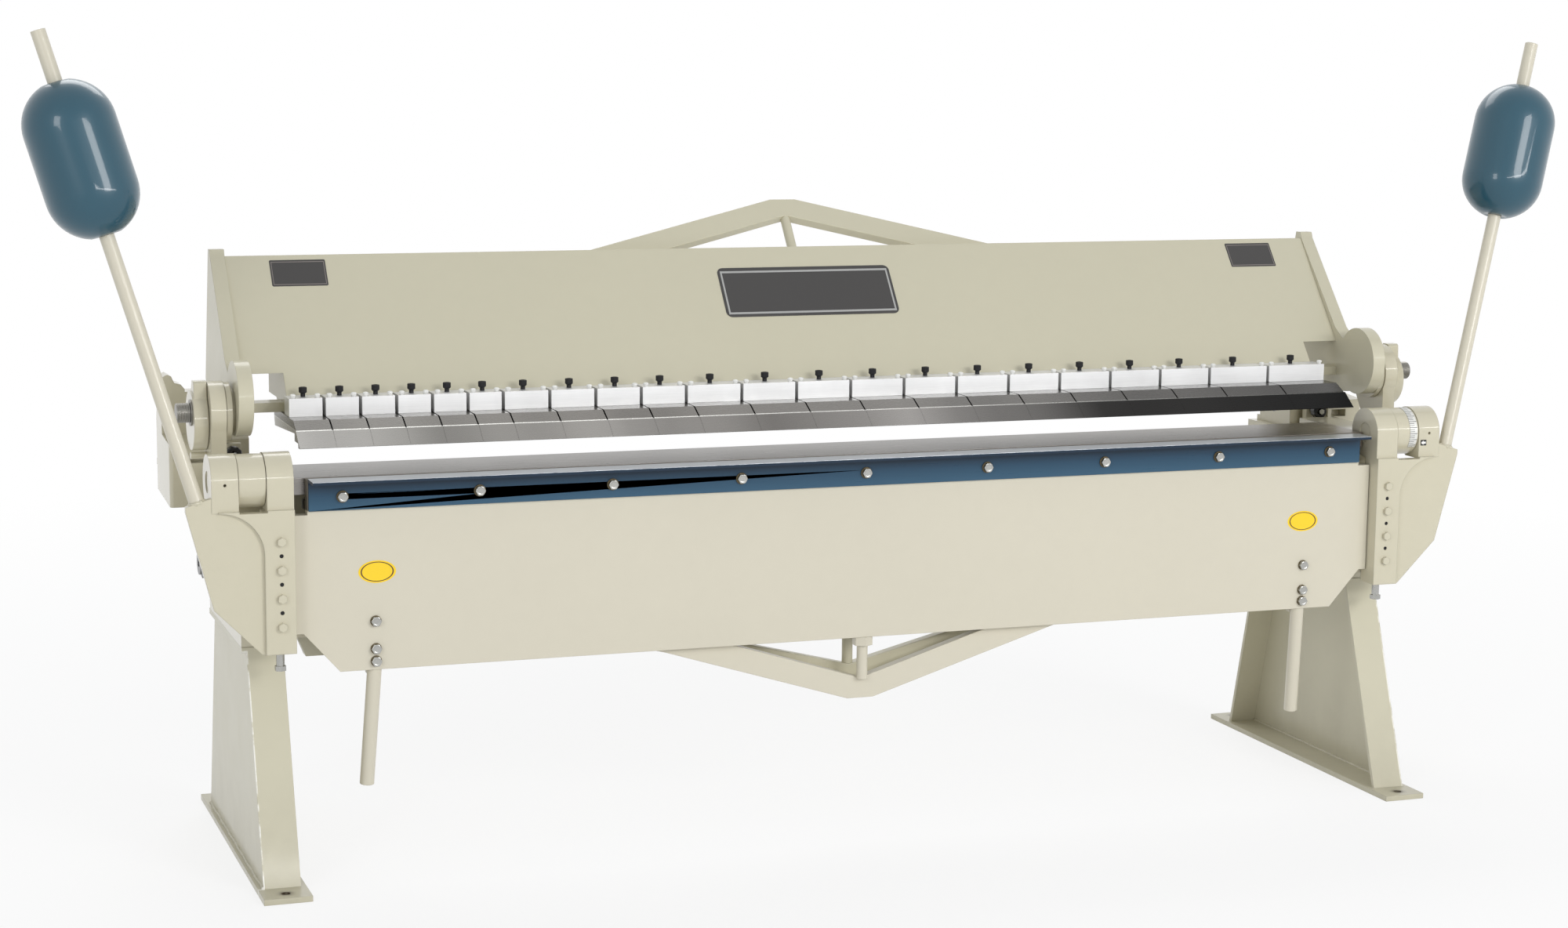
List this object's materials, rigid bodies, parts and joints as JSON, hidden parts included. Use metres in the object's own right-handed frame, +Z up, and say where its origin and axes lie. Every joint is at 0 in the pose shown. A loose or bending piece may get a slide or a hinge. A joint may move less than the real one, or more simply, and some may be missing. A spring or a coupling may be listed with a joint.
{
  "type": "box and pan brake",
  "caption": "Floor-standing box and pan brake: hinged bending apron with counterweights, leaning top leaf with removable fingers of several widths, bed and splayed legs.",
  "frame": {"origin": "on the floor, at the centre of the rectangle of the four feet ends and of the length", "axes": "+X along the length to the right as the operator sees it, -Y to the front where the operator stands, +Z up"},
  "size_m": [3.4838, 0.844, 1.7296],
  "materials": {
    "cream_paint": "gloss cream machine paint",
    "blue_paint": "gloss blue-grey machine paint",
    "finger_steel": "ground tool steel",
    "bare_steel": "machined steel, oiled",
    "dark_steel": "hot rolled steel, oiled",
    "clamp_aluminium": "satin anodised aluminium",
    "black_screw": "black oxide",
    "zinc": "bright zinc plate",
    "black_knob": "gloss black",
    "scale_band": "satin white metal strip"
  },
  "bodies": {
    "frame": {"leg_left": "cream_paint", "leg_right": "cream_paint", "bed_plate": "bare_steel", "bed_web": "cream_paint", "bed_truss": "cream_paint", "bed_truss_post": "cream_paint", "bed_end_left": "cream_paint", "bed_end_right": "cream_paint", "bed_end_bolts": "zinc", "degree_scale": "scale_band"},
    "apron": {"apron_plate": "cream_paint", "apron_edge_bar": "dark_steel", "apron_angle": "blue_paint", "angle_bolts": "zinc", "apron_end_left": "cream_paint", "apron_end_right": "cream_paint", "apron_end_bolts": "black_screw", "apron_dowels": "bare_steel", "adjusting_screws": "black_screw", "hinge_pins": "bare_steel", "apron_truss": "cream_paint", "apron_truss_post": "cream_paint", "handle_left": "cream_paint", "handle_right": "cream_paint", "handle_bolts": "zinc", "rod_left": "cream_paint", "rod_right": "cream_paint"},
    "weight_left": {"weight_left": "blue_paint"},
    "weight_right": {"weight_right": "blue_paint"},
    "slides": {"slide_left": "cream_paint", "slide_right": "cream_paint", "pivot_pins": "bare_steel"},
    "leaf": {"leaf_plate": "cream_paint", "finger_bar": "cream_paint", "leaf_end_left": "cream_paint", "leaf_end_right": "cream_paint", "trunnion_studs": "zinc", "stud_washers": "zinc", "hub_rings": "dark_steel", "leaf_truss": "cream_paint", "leaf_truss_post": "cream_paint", "fingers_3_inch": "finger_steel", "fingers_4_inch": "finger_steel", "fingers_5_inch": "finger_steel", "fingers_6_inch": "finger_steel", "finger_clamps": "clamp_aluminium", "clamp_screws": "black_screw", "clamp_buttons": "zinc"},
    "link_left": {"link_left": "cream_paint", "lock_pin_left": "cream_paint"},
    "adjuster_left": {"eccentric_disc_left": "cream_paint"},
    "crank_left": {"crank_left": "bare_steel"},
    "setback_left": {"setback_screw_left": "zinc", "setback_knob_left": "black_knob"},
    "link_right": {"link_right": "cream_paint", "lock_pin_right": "cream_paint"},
    "adjuster_right": {"eccentric_disc_right": "cream_paint"},
    "crank_right": {"crank_right": "bare_steel"},
    "setback_right": {"setback_screw_right": "zinc", "setback_knob_right": "black_knob"}
  },
  "joints": [
    {"name": "apron_swing", "type": "hinge", "parent": "frame", "child": "apron", "pos_m": [0, -0.255, 0.835], "axis": [-1, 0, 0], "range_deg": [0, 95]},
    {"name": "leaf_setback", "type": "slide", "parent": "frame", "child": "slides", "axis": [0, 1, 0], "range_m": [-0.008, 0.012]},
    {"name": "leaf_close", "type": "hinge", "parent": "slides", "child": "leaf", "pos_m": [0, 0.2, 0.845], "axis": [1, 0, 0], "range_deg": [0, 7.2]},
    {"name": "weight_slide_left", "type": "slide", "parent": "apron", "child": "weight_left", "axis": [-0.2767, 0.1291, 0.9522], "range_m": [-0.4, 0.09]},
    {"name": "link_swing_left", "type": "hinge", "parent": "leaf", "child": "link_left", "pos_m": [0, -0.098, 0.955], "axis": [1, 0, 0], "range_deg": [-7.3, 0]},
    {"name": "pressure_adjust_left", "type": "hinge", "parent": "link_left", "child": "adjuster_left", "pos_m": [0, -0.098, 0.955], "axis": [1, 0, 0], "range_deg": [0, 60]},
    {"name": "clamp_crank_left", "type": "hinge", "parent": "frame", "child": "crank_left", "pos_m": [0, -0.076, 0.64], "axis": [1, 0, 0], "range_deg": [0, 70.5]},
    {"name": "setback_turn_left", "type": "hinge", "parent": "frame", "child": "setback_left", "pos_m": [-1.305, 0.1, 0.842], "axis": [0, 1, 0], "range_deg": [-961, 1441]},
    {"name": "weight_slide_right", "type": "slide", "parent": "apron", "child": "weight_right", "axis": [0.2767, 0.1291, 0.9522], "range_m": [-0.4, 0.09]},
    {"name": "link_swing_right", "type": "hinge", "parent": "leaf", "child": "link_right", "pos_m": [0, -0.098, 0.955], "axis": [1, 0, 0], "range_deg": [-7.3, 0]},
    {"name": "pressure_adjust_right", "type": "hinge", "parent": "link_right", "child": "adjuster_right", "pos_m": [0, -0.098, 0.955], "axis": [1, 0, 0], "range_deg": [0, 60]},
    {"name": "clamp_crank_right", "type": "hinge", "parent": "frame", "child": "crank_right", "pos_m": [0, -0.076, 0.64], "axis": [1, 0, 0], "range_deg": [0, 70.5]},
    {"name": "setback_turn_right", "type": "hinge", "parent": "frame", "child": "setback_right", "pos_m": [1.305, 0.1, 0.842], "axis": [0, 1, 0], "range_deg": [-961, 1441]}
  ],
  "couplings": [
    {"joint": "link_swing_left", "follows": "leaf_close", "ratio": -1},
    {"joint": "clamp_crank_left", "follows": "leaf_close", "ratio": 9.7222},
    {"joint": "setback_turn_left", "follows": "leaf_setback", "rad_per_m": 2094.4},
    {"joint": "link_swing_right", "follows": "leaf_close", "ratio": -1},
    {"joint": "clamp_crank_right", "follows": "leaf_close", "ratio": 9.7222},
    {"joint": "setback_turn_right", "follows": "leaf_setback", "rad_per_m": 2094.4}
  ]
}
